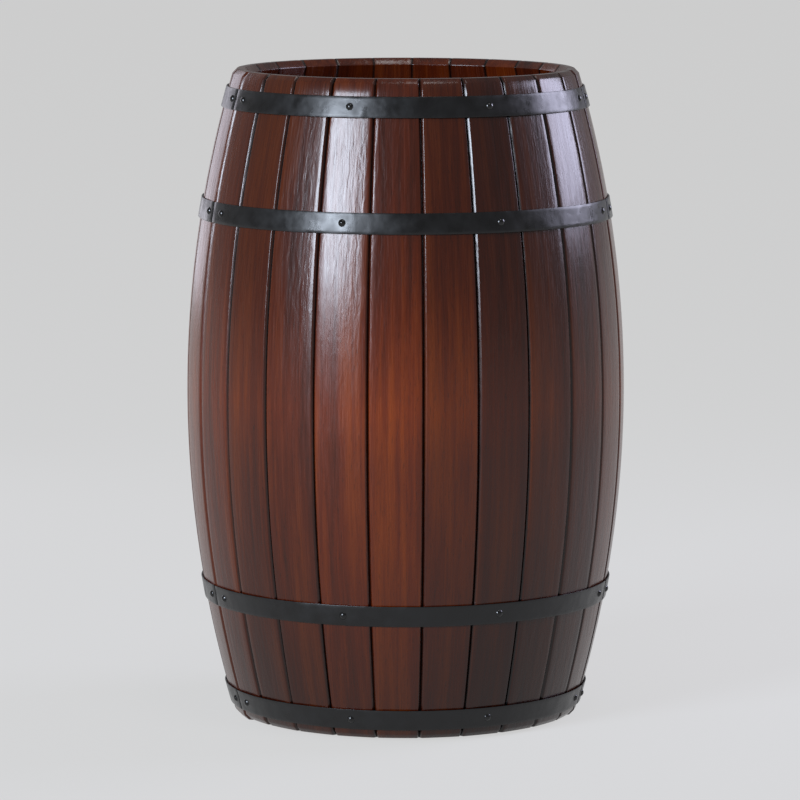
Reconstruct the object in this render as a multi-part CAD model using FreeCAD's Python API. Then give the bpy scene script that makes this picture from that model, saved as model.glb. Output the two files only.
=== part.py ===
import FreeCAD
import Part
import math
import os

# Barrel cabinet: a bowed barrel of equal staves whose front ten staves are a hinged door.
# Millimetres, +Z up. The origin is on the barrel's axis at the floor. The door's middle faces -Y.
# Azimuth is measured in degrees from -Y towards +X. Depth is measured inwards from the outer face,
# square to the bow. In a frame at an azimuth, local X points outwards and local Y to greater azimuth.

Vector = FreeCAD.Vector
UP = Vector(0, 0, 1)
AXIS_POINT = Vector(0, 0, 0)

# Barrel shell
HEIGHT = 800.0
BELLY_RADIUS = 271.0
END_RADIUS = 212.0
STAVE_THICKNESS = 21.0
STAVE_COUNT = 25
DOOR_STAVE_COUNT = 10
JOINT_BEVEL = 1.8
RIM_CHAMFER_HEIGHT = 4.0
RIM_CHAMFER_WIDTH = 3.0
RIM_BEVEL_HEIGHT = 8.0
RIM_BEVEL_WIDTH = 9.0

# Doorway
HINGE_GAP = 3.6
LATCH_GAP = 2.0
DOOR_FLOOR_GAP = 3.0

# Hoops and nails
HOOP_WIDTH = 25.0
HOOP_THICKNESS = 2.0
HOOP_CENTRES = {"foot": 27.0, "lower": 159.0, "upper": 631.0, "rim": 767.0}
NAIL_HEAD_RADIUS = 4.3
NAIL_HEAD_RISE = 2.4
NAIL_SHANK_RADIUS = 1.2
NAIL_SHANK_LENGTH = 15.0
DOOR_NAIL_AZIMUTHS = (-66.5, -22.0, 22.0, 66.5)
BODY_NAIL_AZIMUTHS = (75.5, 122.0, 166.0, 194.0, 238.0, 284.5)

# Heads, held in a groove of the fixed staves
HEAD_THICKNESS = 18.0
HEAD_RECESS = 34.0
HEAD_BOARD_COUNT = 4
HEAD_TONGUE = 7.0
HEAD_TONGUE_SLACK = 0.2
HEAD_EDGE_BEVEL = 12.0
HEAD_DOOR_CLEARANCE = 4.0
HEAD_BOARD_BEVEL = 1.5
CROZE_DEPTH = 4.0
HEAD_SHOULDER_GAP = 1.5
HEAD_END_MARGIN = 0.5

# Inner woodwork
JAMB_THICKNESS = 16.0
JAMB_WIDTH = 36.0
STOP_LAP = 10.0
STOP_CLEARANCE = 0.8
RIB_THICKNESS = 16.0
RIB_HEIGHT = 30.0
RIB_CENTRES = {"lower": 120.0, "middle": 440.0, "upper": 690.0}
RIB_AZIMUTHS = (-66.0, 62.0)
SHELF_THICKNESS = 18.0
SHELF_TOP = 409.0
SHELF_FRONT_RADIUS = 230.0
SHELF_WALL_GAP = 0.6
SHELF_FRONT_AZIMUTH = 84.0
CLEAT_AZIMUTHS = (112.0, 180.0, 248.0)
CLEAT_HALF_SPAN = 8.5
CLEAT_THICKNESS = 16.0
CLEAT_HEIGHT = 18.0

# Hinges: an upright pin inside the door's wall, set back from the door's edge
PIN_DEPTH = 13.0
PIN_SETBACK = 20.0
PIN_RADIUS = 2.5
PIN_CLEARANCE = 0.05
HINGE_OFFSET = 85.0
KNUCKLE_RADIUS = 5.0
KNUCKLE_HALF = 12.0
EAR_GAP = 0.4
EAR_THICKNESS = 4.6
ARM_THICKNESS = 5.0
ARM_REACH = 26.5
ARM_FOOT_END = 58.0
MORTISE_SKIN_SIDE = 5.6
MORTISE_FAR_SIDE = 5.6
MORTISE_EASE = 0.6
MORTISE_MOUTH = 40.0
MORTISE_EDGE_PASS = 5.0
LEAF_AZIMUTH = 61.0
LEAF_THICKNESS = 4.0
LEAF_SPAN = (-13.0, 17.0)
LEAF_BURY = 0.35
LEAF_BRIDGE_DEPTH = 13.6
LEAF_BRIDGE_THICKNESS = 5.0
LEAF_BRIDGE_END = 15.0
ARM_SCREWS = (37.0, 50.0)
LEAF_SCREWS = (-6.0, 9.0)

# Push latch behind the door's free edge
LATCH_HEIGHT = 365.0
LATCH_CASE = (16.0, 44.0, 18.0)
LATCH_CASE_BACK = -32.0
LATCH_SEAT_RADIUS = 232.0
PLUNGER_RADIUS = 4.0
PLUNGER_TIP_RADIUS = 5.5
PLUNGER_TIP_LENGTH = 4.0
PLUNGER_REACH = 10.0
PLUNGER_SHANK = 22.0
PLUNGER_BORE = 28.0
PLUNGER_TIP_CHAMFER = 1.0
CASE_ROUNDING = 1.5
STRIKE_GAP = 0.4
STRIKE_THICKNESS = 3.0
STRIKE_HALF_HEIGHT = 14.0
STRIKE_AZIMUTH = -62.0
STRIKE_FOOT_SPAN = (-20.0, 15.0)
STRIKE_SCREWS = 7.0
STRIKE_SCREW_SHIFT = 2.0
STRIKE_OVERHANG = 2.0
STRIKE_WEB_GAP = 2.6

# Screws
SCREW_RADIUS = 1.8
SCREW_LENGTH = 14.0
SCREW_HEAD_RADIUS = 3.4
SCREW_HEAD_RISE = 2.0
SCREW_SLOT = 0.8
SCREW_RIM = 0.9
SCREW_CROWN_RADIUS = 2.4
SCREW_POINT = 3.0

# Worked out from the values above
MIDDLE = HEIGHT / 2
SAGITTA = BELLY_RADIUS - END_RADIUS
BOW_RADIUS = (MIDDLE ** 2 + SAGITTA ** 2) / (2 * SAGITTA)
BOW_CENTRE = BELLY_RADIUS - BOW_RADIUS
PITCH = 360.0 / STAVE_COUNT
DOOR_EDGE = PITCH * DOOR_STAVE_COUNT / 2
FIXED_STAVE_COUNT = STAVE_COUNT - DOOR_STAVE_COUNT
FAR = 450.0
PASS = 1.0
PIN_RADIAL = BELLY_RADIUS - PIN_DEPTH
PIN_TANGENT = -(HINGE_GAP / 2 + PIN_SETBACK)
HINGE_HEIGHTS = {"lower": MIDDLE - HINGE_OFFSET, "upper": MIDDLE + HINGE_OFFSET}
EAR_FACE = KNUCKLE_HALF + EAR_GAP
EAR_END = EAR_FACE + EAR_THICKNESS


def radius_at(height, depth=0.0):
    """Radius of the bowed surface that lies this deep in the wall."""
    return BOW_CENTRE + math.sqrt((BOW_RADIUS - depth) ** 2 - (height - MIDDLE) ** 2)


def at_front(radius, height):
    """Point of the upright section plane at azimuth 0."""
    return Vector(0, -radius, height)


def on_bow(height, depth):
    return at_front(radius_at(height, depth), height)


def turned(shape, azimuth):
    """Copy turned about the barrel's axis."""
    copy = shape.copy()
    copy.rotate(AXIS_POINT, UP, azimuth)
    return copy


def in_frame(shape, azimuth, height=0.0):
    """Copy moved from local axes (X outwards, Y to greater azimuth) to an azimuth and height."""
    copy = shape.copy()
    copy.translate(Vector(0, 0, height))
    copy.rotate(AXIS_POINT, UP, azimuth - 90.0)
    return copy


def box(x_range, y_range, z_range):
    size = [high - low for low, high in (x_range, y_range, z_range)]
    corner = Vector(x_range[0], y_range[0], z_range[0])
    return Part.makeBox(size[0], size[1], size[2], corner)


def bow_edge(low, high, depth):
    """Arc of the bow between two heights."""
    middle = on_bow((low + high) / 2, depth)
    return Part.Arc(on_bow(low, depth), middle, on_bow(high, depth)).toShape()


def line(start, end):
    return Part.LineSegment(start, end).toShape()


def spun(face, azimuth_from, azimuth_to):
    """Solid that a section face makes when it is turned between two azimuths."""
    start = turned(face, azimuth_from)
    return start.revolve(AXIS_POINT, UP, azimuth_to - azimuth_from)


def bowed_band(low, high, outer_depth, inner_depth, azimuth_from, azimuth_to):
    """Band that follows the bow between two depths of the wall."""
    edges = [
        bow_edge(low, high, outer_depth),
        line(on_bow(high, outer_depth), on_bow(high, inner_depth)),
        bow_edge(low, high, inner_depth),
        line(on_bow(low, inner_depth), on_bow(low, outer_depth)),
    ]
    face = Part.Face(Part.Wire(Part.__sortEdges__(edges)))
    return spun(face, azimuth_from, azimuth_to)


def croze_heights():
    """Lower and upper limits of the two grooves that hold the heads."""
    middle = HEAD_RECESS + HEAD_THICKNESS / 2
    half = HEAD_TONGUE / 2
    return [(middle - half, middle + half), (HEIGHT - middle - half, HEIGHT - middle + half)]


def stave_section(foot, grooved):
    """Upright section of a stave, with its chamfered ends and, where wanted, its grooves."""
    inner = STAVE_THICKNESS
    outer_low = foot + RIM_CHAMFER_HEIGHT
    outer_high = HEIGHT - RIM_CHAMFER_HEIGHT
    inner_low = foot + RIM_BEVEL_HEIGHT
    inner_high = HEIGHT - RIM_BEVEL_HEIGHT
    top_outer = at_front(radius_at(HEIGHT) - RIM_CHAMFER_WIDTH, HEIGHT)
    top_inner = at_front(radius_at(HEIGHT, inner) + RIM_BEVEL_WIDTH, HEIGHT)
    foot_inner = at_front(radius_at(foot, inner) + RIM_BEVEL_WIDTH, foot)
    foot_outer = at_front(radius_at(foot) - RIM_CHAMFER_WIDTH, foot)
    edges = [
        bow_edge(outer_low, outer_high, 0.0),
        line(on_bow(outer_high, 0.0), top_outer),
        line(top_outer, top_inner),
        line(top_inner, on_bow(inner_high, inner)),
        line(on_bow(inner_low, inner), foot_inner),
        line(foot_inner, foot_outer),
        line(foot_outer, on_bow(outer_low, 0.0)),
    ]
    start = inner_low
    for low, high in croze_heights() if grooved else []:
        floor = radius_at((low + high) / 2, inner) + CROZE_DEPTH
        edges.append(bow_edge(start, low, inner))
        edges.append(line(on_bow(low, inner), at_front(floor, low)))
        edges.append(line(at_front(floor, low), at_front(floor, high)))
        edges.append(line(at_front(floor, high), on_bow(high, inner)))
        start = high
    edges.append(bow_edge(start, inner_high, inner))
    return Part.Face(Part.Wire(Part.__sortEdges__(edges)))


def joint_groove(azimuth, offset):
    """V cutter that follows the bow along a joint, shifted sideways by the offset."""
    wing = JOINT_BEVEL + PASS
    corners = [
        Vector(BELLY_RADIUS - JOINT_BEVEL, offset, 0),
        Vector(BELLY_RADIUS + PASS, offset + wing, 0),
        Vector(BELLY_RADIUS + PASS, offset - wing, 0),
    ]
    face = Part.Face(Part.makePolygon(corners + corners[:1]))
    half_turn = math.degrees(math.asin((MIDDLE + SAGITTA) / BOW_RADIUS))
    pivot = Vector(BOW_CENTRE, 0, 0)
    face.rotate(pivot, Vector(0, 1, 0), -half_turn)
    cutter = face.revolve(pivot, Vector(0, 1, 0), 2 * half_turn)
    return in_frame(cutter, azimuth, MIDDLE)


def gap_slab(azimuth, low, high):
    """Upright slab beside a radial plane, between two sideways distances from it."""
    return in_frame(box((0, FAR), (low, high), (-PASS, HEIGHT + PASS)), azimuth)


def stave(azimuth_from, foot, grooved, low_gap, high_gap):
    """One stave between two joints. A gap is how far its edge stands back from the joint plane."""
    azimuth_to = azimuth_from + PITCH
    shape = spun(stave_section(foot, grooved), azimuth_from, azimuth_to)
    if low_gap:
        shape = shape.cut(gap_slab(azimuth_from, -PASS, low_gap))
    if high_gap:
        shape = shape.cut(gap_slab(azimuth_to, -high_gap, PASS))
    shape = shape.cut(joint_groove(azimuth_from, low_gap))
    return shape.cut(joint_groove(azimuth_to, -high_gap))


def lathe(points, arc_middle=None):
    """Solid of revolution about local Z; the first two points may be joined by an arc."""
    corners = [Vector(radius, 0, height) for radius, height in points]
    edges = []
    for start, end in zip(corners, corners[1:] + corners[:1]):
        if arc_middle and not edges:
            middle = Vector(arc_middle[0], 0, arc_middle[1])
            edges.append(Part.Arc(start, middle, end).toShape())
        else:
            edges.append(line(start, end))
    face = Part.Face(Part.Wire(edges))
    return face.revolve(AXIS_POINT, UP, 360)


def hoop_nail():
    """Nail along local Z, its head's flat underside at height 0."""
    sphere = (NAIL_HEAD_RADIUS ** 2 + NAIL_HEAD_RISE ** 2) / (2 * NAIL_HEAD_RISE)
    centre = NAIL_HEAD_RISE - sphere
    middle_radius = NAIL_HEAD_RADIUS / 2
    middle = (middle_radius, centre + math.sqrt(sphere ** 2 - middle_radius ** 2))
    tip = NAIL_SHANK_LENGTH + 2 * NAIL_SHANK_RADIUS
    points = [
        (0, NAIL_HEAD_RISE),
        (NAIL_HEAD_RADIUS, 0),
        (NAIL_SHANK_RADIUS, 0),
        (NAIL_SHANK_RADIUS, -NAIL_SHANK_LENGTH),
        (0, -tip),
    ]
    return lathe(points, middle)


def wood_screw():
    """Round-headed screw along local Z, its head's underside at height 0, with a slot."""
    points = [
        (0, SCREW_HEAD_RISE),
        (SCREW_CROWN_RADIUS, SCREW_HEAD_RISE),
        (SCREW_HEAD_RADIUS, SCREW_RIM),
        (SCREW_HEAD_RADIUS, 0),
        (SCREW_RADIUS, 0),
        (SCREW_RADIUS, -SCREW_LENGTH + SCREW_POINT),
        (0, -SCREW_LENGTH),
    ]
    half = SCREW_SLOT / 2
    slot = box((-SCREW_HEAD_RADIUS, SCREW_HEAD_RADIUS), (-half, half),
               (SCREW_HEAD_RISE - SCREW_SLOT, SCREW_HEAD_RISE + PASS))
    return lathe(points).cut(slot)


def pointed(shape, direction, place):
    """Copy whose local Z points along a direction, moved to a place."""
    copy = shape.copy()
    copy.Placement = FreeCAD.Placement(place, FreeCAD.Rotation(UP, direction))
    return copy


def nail_at(azimuth, height):
    """Hoop nail square to the hoop's outer face."""
    tilt = math.asin((height - MIDDLE) / BOW_RADIUS)
    reach = BOW_RADIUS + HOOP_THICKNESS
    place = Vector(0, -BOW_CENTRE - reach * math.cos(tilt), MIDDLE + reach * math.sin(tilt))
    direction = Vector(0, -math.cos(tilt), math.sin(tilt))
    return turned(pointed(hoop_nail(), direction, place), azimuth)


def nails(azimuths):
    """Nails of all four hoops, as (azimuth, shape) pairs."""
    return [(azimuth, nail_at(azimuth, height))
            for height in HOOP_CENTRES.values() for azimuth in azimuths]


def cut_by(shape, cutters):
    """The shape less every cutter whose box meets its own."""
    for cutter in cutters:
        if shape.BoundBox.intersect(cutter.BoundBox):
            shape = shape.cut(cutter)
    return shape


def hoop(height, azimuth_from, azimuth_to, low_gap, high_gap):
    """Length of hoop on the staves, its ends standing back from two radial planes."""
    half = HOOP_WIDTH / 2
    shape = bowed_band(height - half, height + half, -HOOP_THICKNESS, 0.0, azimuth_from, azimuth_to)
    shape = shape.cut(gap_slab(azimuth_from, -PASS, low_gap))
    return shape.cut(gap_slab(azimuth_to, -high_gap, PASS))


def outer_ring(radius, bottom, top, half_span):
    """Cutter that takes a disc back to a radius over the front, this far to each side."""
    low, high = bottom - PASS, top + PASS
    corners = [at_front(radius, low), at_front(FAR, low), at_front(FAR, high), at_front(radius, high)]
    section = Part.Face(Part.makePolygon(corners + corners[:1]))
    return spun(section, -half_span, half_span)


def head_boards(bottom, visible_side):
    """Boards of one head. visible_side is +1 when the face seen from outside is its top."""
    top = bottom + HEAD_THICKNESS
    middle = (bottom + top) / 2
    inner = radius_at(middle, STAVE_THICKNESS)
    rim = inner + CROZE_DEPTH - HEAD_TONGUE_SLACK
    shoulder = inner - HEAD_SHOULDER_GAP
    face_radius = inner - HEAD_EDGE_BEVEL
    half = HEAD_TONGUE / 2
    points = [(0, bottom), (face_radius, bottom), (shoulder, middle - half), (rim, middle - half),
              (rim, middle + half), (shoulder, middle + half), (face_radius, top), (0, top)]
    disc = lathe(points)
    front_radius = radius_at(MIDDLE + abs(middle - MIDDLE) + HEAD_THICKNESS / 2, STAVE_THICKNESS)
    front_radius -= HEAD_DOOR_CLEARANCE
    disc = disc.cut(outer_ring(front_radius, bottom, top, DOOR_EDGE + HEAD_END_MARGIN))
    width = 2 * rim / HEAD_BOARD_COUNT
    seen = top if visible_side > 0 else bottom
    boards = []
    for index in range(HEAD_BOARD_COUNT):
        low = -rim + index * width
        board = disc.common(box((-FAR, FAR), (low, low + width), (bottom, top)))
        for seam in (low, low + width):
            board = board.cut(board_groove(seam, seen))
        boards.append(board)
    return boards


def board_groove(seam, seen):
    """Square bar on edge along X, which bevels the arrises of two neighbouring boards."""
    side = HEAD_BOARD_BEVEL * math.sqrt(2)
    bar = box((-FAR, FAR), (-side / 2, side / 2), (-side / 2, side / 2))
    bar.rotate(AXIS_POINT, Vector(1, 0, 0), 45)
    bar.translate(Vector(0, seam, seen))
    return bar


def degrees_along(distance, radius):
    return math.degrees(math.asin(distance / radius))


def jamb(azimuth_from, azimuth_to, outer_depth):
    """Bowed post between the two heads, against the inside of the staves."""
    low = HEAD_RECESS + HEAD_THICKNESS
    inner_depth = STAVE_THICKNESS + JAMB_THICKNESS
    return bowed_band(low, HEIGHT - low, outer_depth, inner_depth, azimuth_from, azimuth_to)


def hinge_jamb():
    inner = BELLY_RADIUS - STAVE_THICKNESS
    start = DOOR_EDGE + degrees_along(HINGE_GAP / 2, inner)
    return jamb(start, start + degrees_along(JAMB_WIDTH, inner), STAVE_THICKNESS)


def latch_jamb():
    """Post at the latch side; its forward lip laps behind the door as a stop."""
    inner = BELLY_RADIUS - STAVE_THICKNESS
    end = -DOOR_EDGE - degrees_along(LATCH_GAP / 2, inner)
    post = jamb(end - degrees_along(JAMB_WIDTH, inner), end, STAVE_THICKNESS)
    lip = jamb(end, end + degrees_along(STOP_LAP, inner), STAVE_THICKNESS + STOP_CLEARANCE)
    return post.fuse(lip)


def door_rib(height):
    half = RIB_HEIGHT / 2
    inner_depth = STAVE_THICKNESS + RIB_THICKNESS
    return bowed_band(height - half, height + half, STAVE_THICKNESS, inner_depth, *RIB_AZIMUTHS)


def shelf():
    """Round shelf, cut back in front of the jambs and behind the door."""
    bottom = SHELF_TOP - SHELF_THICKNESS
    wall_radius = radius_at(bottom, STAVE_THICKNESS) - SHELF_WALL_GAP
    disc = Part.makeCylinder(wall_radius, SHELF_THICKNESS, Vector(0, 0, bottom))
    return disc.cut(outer_ring(SHELF_FRONT_RADIUS, bottom, SHELF_TOP, SHELF_FRONT_AZIMUTH))


def cleat(azimuth):
    top = SHELF_TOP - SHELF_THICKNESS
    inner_depth = STAVE_THICKNESS + CLEAT_THICKNESS
    return bowed_band(top - CLEAT_HEIGHT, top, STAVE_THICKNESS, inner_depth,
                      azimuth - CLEAT_HALF_SPAN, azimuth + CLEAT_HALF_SPAN)


def at_pin(shape, height):
    """Copy moved from axes centred on the hinge pin (X outwards, Y to the fixed staves)."""
    copy = shape.copy()
    copy.translate(Vector(PIN_RADIAL, PIN_TANGENT, 0))
    return in_frame(copy, DOOR_EDGE, height)


def hinge_arm(height):
    """Gooseneck: knuckle on the pin, a leg straight inwards, and a foot along the jamb."""
    half = KNUCKLE_HALF
    thick = ARM_THICKNESS / 2
    knuckle = Part.makeCylinder(KNUCKLE_RADIUS, 2 * half, Vector(0, 0, -half))
    leg = box((-ARM_REACH - ARM_THICKNESS, 0), (-thick, thick), (-half, half))
    foot = box((-ARM_REACH - ARM_THICKNESS, -ARM_REACH), (-thick, ARM_FOOT_END), (-half, half))
    bore = Part.makeCylinder(PIN_RADIUS + PIN_CLEARANCE, 2 * half, Vector(0, 0, -half))
    shape = knuckle.fuse([leg, foot]).removeSplitter().cut(bore)
    return at_pin(shape, height)


def arm_screws(height):
    """Screws of one arm, driven outwards from the foot's inner face into the jamb."""
    inner_face = -ARM_REACH - ARM_THICKNESS
    screw = pointed(wood_screw(), Vector(-1, 0, 0), Vector(inner_face, 0, 0))
    return [at_pin(screw.translated(Vector(0, distance, 0)), height) for distance in ARM_SCREWS]


def leaf_plate(height):
    """The leaf's foot, let into the inner face of the door's last stave."""
    outer = radius_at(height, STAVE_THICKNESS) - LEAF_BURY
    plate = box((outer - LEAF_THICKNESS, outer), LEAF_SPAN, (-EAR_END, EAR_END))
    return in_frame(plate, LEAF_AZIMUTH, height)


def hinge_leaf(height):
    """Foot with two ears that hold the pin above and below the knuckle."""
    inner = -LEAF_BRIDGE_DEPTH - LEAF_BRIDGE_THICKNESS
    bridge = box((inner, -LEAF_BRIDGE_DEPTH), (-LEAF_BRIDGE_END, KNUCKLE_RADIUS), (EAR_FACE, EAR_END))
    stem = box((inner, 0), (-KNUCKLE_RADIUS, KNUCKLE_RADIUS), (EAR_FACE, EAR_END))
    eye = Part.makeCylinder(KNUCKLE_RADIUS, EAR_THICKNESS, Vector(0, 0, EAR_FACE))
    ear = eye.fuse([stem, bridge])
    lower_ear = ear.mirror(AXIS_POINT, UP)
    bore = Part.makeCylinder(PIN_RADIUS, 2 * EAR_END, Vector(0, 0, -EAR_END))
    ears = [at_pin(one.cut(bore), height) for one in (ear, lower_ear)]
    return leaf_plate(height).fuse(ears).removeSplitter()


def leaf_screws(height):
    """Screws of one leaf, driven outwards into the door's last stave."""
    inner_face = radius_at(height, STAVE_THICKNESS) - LEAF_BURY - LEAF_THICKNESS
    screw = pointed(wood_screw(), Vector(-1, 0, 0), Vector(inner_face, 0, 0))
    return [in_frame(screw.translated(Vector(0, distance, 0)), LEAF_AZIMUTH, height)
            for distance in LEAF_SCREWS]


def hinge_pin(height):
    pin = Part.makeCylinder(PIN_RADIUS, 2 * EAR_END, Vector(0, 0, -EAR_END))
    return at_pin(pin, height)


def hinge_mortise(height):
    """Pocket in the door's last stave, open inwards and at its edge."""
    half = EAR_END + MORTISE_EASE
    pocket = box((-MORTISE_MOUTH, MORTISE_SKIN_SIDE),
                 (-MORTISE_FAR_SIDE, PIN_SETBACK + MORTISE_EDGE_PASS), (-half, half))
    return at_pin(pocket, height)


def latch_block():
    """Outer block of the latch case, which also cuts its seat in the jamb."""
    thick, length, tall = LATCH_CASE
    return box((LATCH_SEAT_RADIUS - thick, LATCH_SEAT_RADIUS),
               (LATCH_CASE_BACK, LATCH_CASE_BACK + length), (-tall / 2, tall / 2))


def latch_case():
    """Case of the push latch, its back let into the jamb and its mouth towards the door."""
    thick, length, _ = LATCH_CASE
    case = latch_block()
    long_edges = [edge for edge in case.Edges if abs(edge.Length - length) < 0.01]
    case = case.makeFillet(CASE_ROUNDING, long_edges)
    floor = Vector(LATCH_SEAT_RADIUS - thick / 2, LATCH_CASE_BACK + length - PLUNGER_BORE, 0)
    bore = Part.makeCylinder(PLUNGER_RADIUS + PIN_CLEARANCE, PLUNGER_BORE + PASS, floor, Vector(0, 1, 0))
    return in_frame(case.cut(bore), -DOOR_EDGE, LATCH_HEIGHT)


def latch_plunger():
    thick, length, _ = LATCH_CASE
    front = LATCH_CASE_BACK + length
    tip = front + PLUNGER_REACH
    outline = [
        (0, tip),
        (PLUNGER_TIP_RADIUS - PLUNGER_TIP_CHAMFER, tip),
        (PLUNGER_TIP_RADIUS, tip - PLUNGER_TIP_CHAMFER),
        (PLUNGER_TIP_RADIUS, tip - PLUNGER_TIP_LENGTH),
        (PLUNGER_RADIUS, tip - PLUNGER_TIP_LENGTH),
        (PLUNGER_RADIUS, front - PLUNGER_SHANK),
        (0, front - PLUNGER_SHANK),
    ]
    shape = pointed(lathe(outline), Vector(0, 1, 0), Vector(LATCH_SEAT_RADIUS - thick / 2, 0, 0))
    return in_frame(shape, -DOOR_EDGE, LATCH_HEIGHT)


def strike_foot():
    """Foot of the strike, let into the inner face of the door's first stave."""
    outer = radius_at(LATCH_HEIGHT, STAVE_THICKNESS) - LEAF_BURY
    plate = box((outer - STRIKE_THICKNESS, outer), STRIKE_FOOT_SPAN,
                (-STRIKE_HALF_HEIGHT, STRIKE_HALF_HEIGHT))
    return in_frame(plate, STRIKE_AZIMUTH, LATCH_HEIGHT)


def latch_strike():
    """Angle on the door: its web stands in front of the plunger."""
    thick, length, _ = LATCH_CASE
    face = LATCH_CASE_BACK + length + PLUNGER_REACH + STRIKE_GAP
    inner = LATCH_SEAT_RADIUS - thick - STRIKE_OVERHANG
    outer = radius_at(LATCH_HEIGHT, STAVE_THICKNESS) - STRIKE_WEB_GAP
    web = box((inner, outer), (face, face + STRIKE_THICKNESS),
              (-STRIKE_HALF_HEIGHT, STRIKE_HALF_HEIGHT))
    web = in_frame(web, -DOOR_EDGE, LATCH_HEIGHT)
    return strike_foot().fuse(web).removeSplitter()


def strike_screws():
    inner_face = radius_at(LATCH_HEIGHT, STAVE_THICKNESS) - LEAF_BURY - STRIKE_THICKNESS
    screw = pointed(wood_screw(), Vector(-1, 0, 0), Vector(inner_face, 0, 0))
    return [in_frame(screw.translated(Vector(0, STRIKE_SCREW_SHIFT, side * STRIKE_SCREWS)),
                     STRIKE_AZIMUTH, LATCH_HEIGHT) for side in (-1, 1)]


def save(name, shapes):
    """Write one node: a single solid, or a group of separate ones."""
    solids = [solid for shape in shapes for solid in shape.Solids]
    for solid in solids:
        if not solid.isValid() or solid.Volume <= 0:
            print("check the shape of", name)
    result = solids[0] if len(solids) == 1 else Part.makeCompound(solids)
    result.exportStep("parts/" + name + ".step")
    print(name, len(solids), "solid(s),", round(result.Volume / 1000, 1), "cm3")


def nails_between(all_nails, start):
    """Nails that go through the stave which starts at this azimuth."""
    return [nail for azimuth, nail in all_nails if start < azimuth < start + PITCH]


def make_staves(door_nails, body_nails, leaf_cutters, strike_cutters):
    """All 25 staves: the door's run from the latch side to the hinge side, the rest go on round."""
    for index in range(DOOR_STAVE_COUNT):
        start = -DOOR_EDGE + index * PITCH
        low_gap = LATCH_GAP / 2 if index == 0 else 0.0
        high_gap = HINGE_GAP / 2 if index == DOOR_STAVE_COUNT - 1 else 0.0
        shape = stave(start, DOOR_FLOOR_GAP, False, low_gap, high_gap)
        shape = cut_by(shape, nails_between(door_nails, start))
        if index == 0:
            shape = cut_by(shape, strike_cutters)
        if index == DOOR_STAVE_COUNT - 1:
            shape = cut_by(shape, leaf_cutters)
        save("door_stave_%02d" % (index + 1), [shape])
    for index in range(FIXED_STAVE_COUNT):
        start = DOOR_EDGE + index * PITCH
        low_gap = HINGE_GAP / 2 if index == 0 else 0.0
        high_gap = LATCH_GAP / 2 if index == FIXED_STAVE_COUNT - 1 else 0.0
        shape = stave(start, 0.0, True, low_gap, high_gap)
        shape = cut_by(shape, nails_between(body_nails, start))
        save("body_stave_%02d" % (index + 1), [shape])


def make_hoops(door_nails, body_nails):
    for name, height in HOOP_CENTRES.items():
        front = hoop(height, -DOOR_EDGE, DOOR_EDGE, LATCH_GAP / 2, HINGE_GAP / 2)
        back = hoop(height, DOOR_EDGE, 360 - DOOR_EDGE, HINGE_GAP / 2, LATCH_GAP / 2)
        front = cut_by(front, [nail for _, nail in door_nails])
        back = cut_by(back, [nail for _, nail in body_nails])
        save("door_hoop_" + name, [front])
        save("body_hoop_" + name, [back])


def main():
    os.makedirs("parts", exist_ok=True)
    door_nails = nails(DOOR_NAIL_AZIMUTHS)
    body_nails = nails(BODY_NAIL_AZIMUTHS)
    heights = HINGE_HEIGHTS.values()
    door_hinge_screws = [screw for height in heights for screw in leaf_screws(height)]
    body_hinge_screws = [screw for height in heights for screw in arm_screws(height)]
    leaf_cutters = [hinge_mortise(height) for height in heights]
    leaf_cutters += [leaf_plate(height) for height in heights] + door_hinge_screws
    strike = strike_screws()

    make_staves(door_nails, body_nails, leaf_cutters, [strike_foot()] + strike)
    make_hoops(door_nails, body_nails)
    save("door_hoop_nails", [nail for _, nail in door_nails])
    save("body_hoop_nails", [nail for _, nail in body_nails])

    for index, board in enumerate(head_boards(HEIGHT - HEAD_RECESS - HEAD_THICKNESS, 1)):
        save("top_head_board_%d" % (index + 1), [board])
    for index, board in enumerate(head_boards(HEAD_RECESS, -1)):
        save("base_head_board_%d" % (index + 1), [board])

    arms = [hinge_arm(height) for height in heights]
    save("jamb_hinge_side", [cut_by(hinge_jamb(), arms + body_hinge_screws)])
    seat = in_frame(latch_block(), -DOOR_EDGE, LATCH_HEIGHT)
    save("jamb_latch_side", [cut_by(latch_jamb(), [seat])])
    for name, height in RIB_CENTRES.items():
        save("door_rib_" + name, [door_rib(height)])
    save("shelf", [shelf()])
    save("shelf_cleats", [cleat(azimuth) for azimuth in CLEAT_AZIMUTHS])

    for name, height in HINGE_HEIGHTS.items():
        save("hinge_arm_" + name, [cut_by(hinge_arm(height), body_hinge_screws)])
        save("hinge_leaf_" + name, [cut_by(hinge_leaf(height), door_hinge_screws)])
    save("hinge_pins", [hinge_pin(height) for height in heights])
    save("body_hardware_screws", body_hinge_screws)
    save("door_hardware_screws", door_hinge_screws + strike)

    save("latch_case", [latch_case()])
    save("latch_plunger", [latch_plunger()])
    save("latch_strike", [cut_by(latch_strike(), strike)])


main()
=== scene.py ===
import math
import random

import bmesh
import bpy
from mathutils import Matrix, Vector


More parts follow.
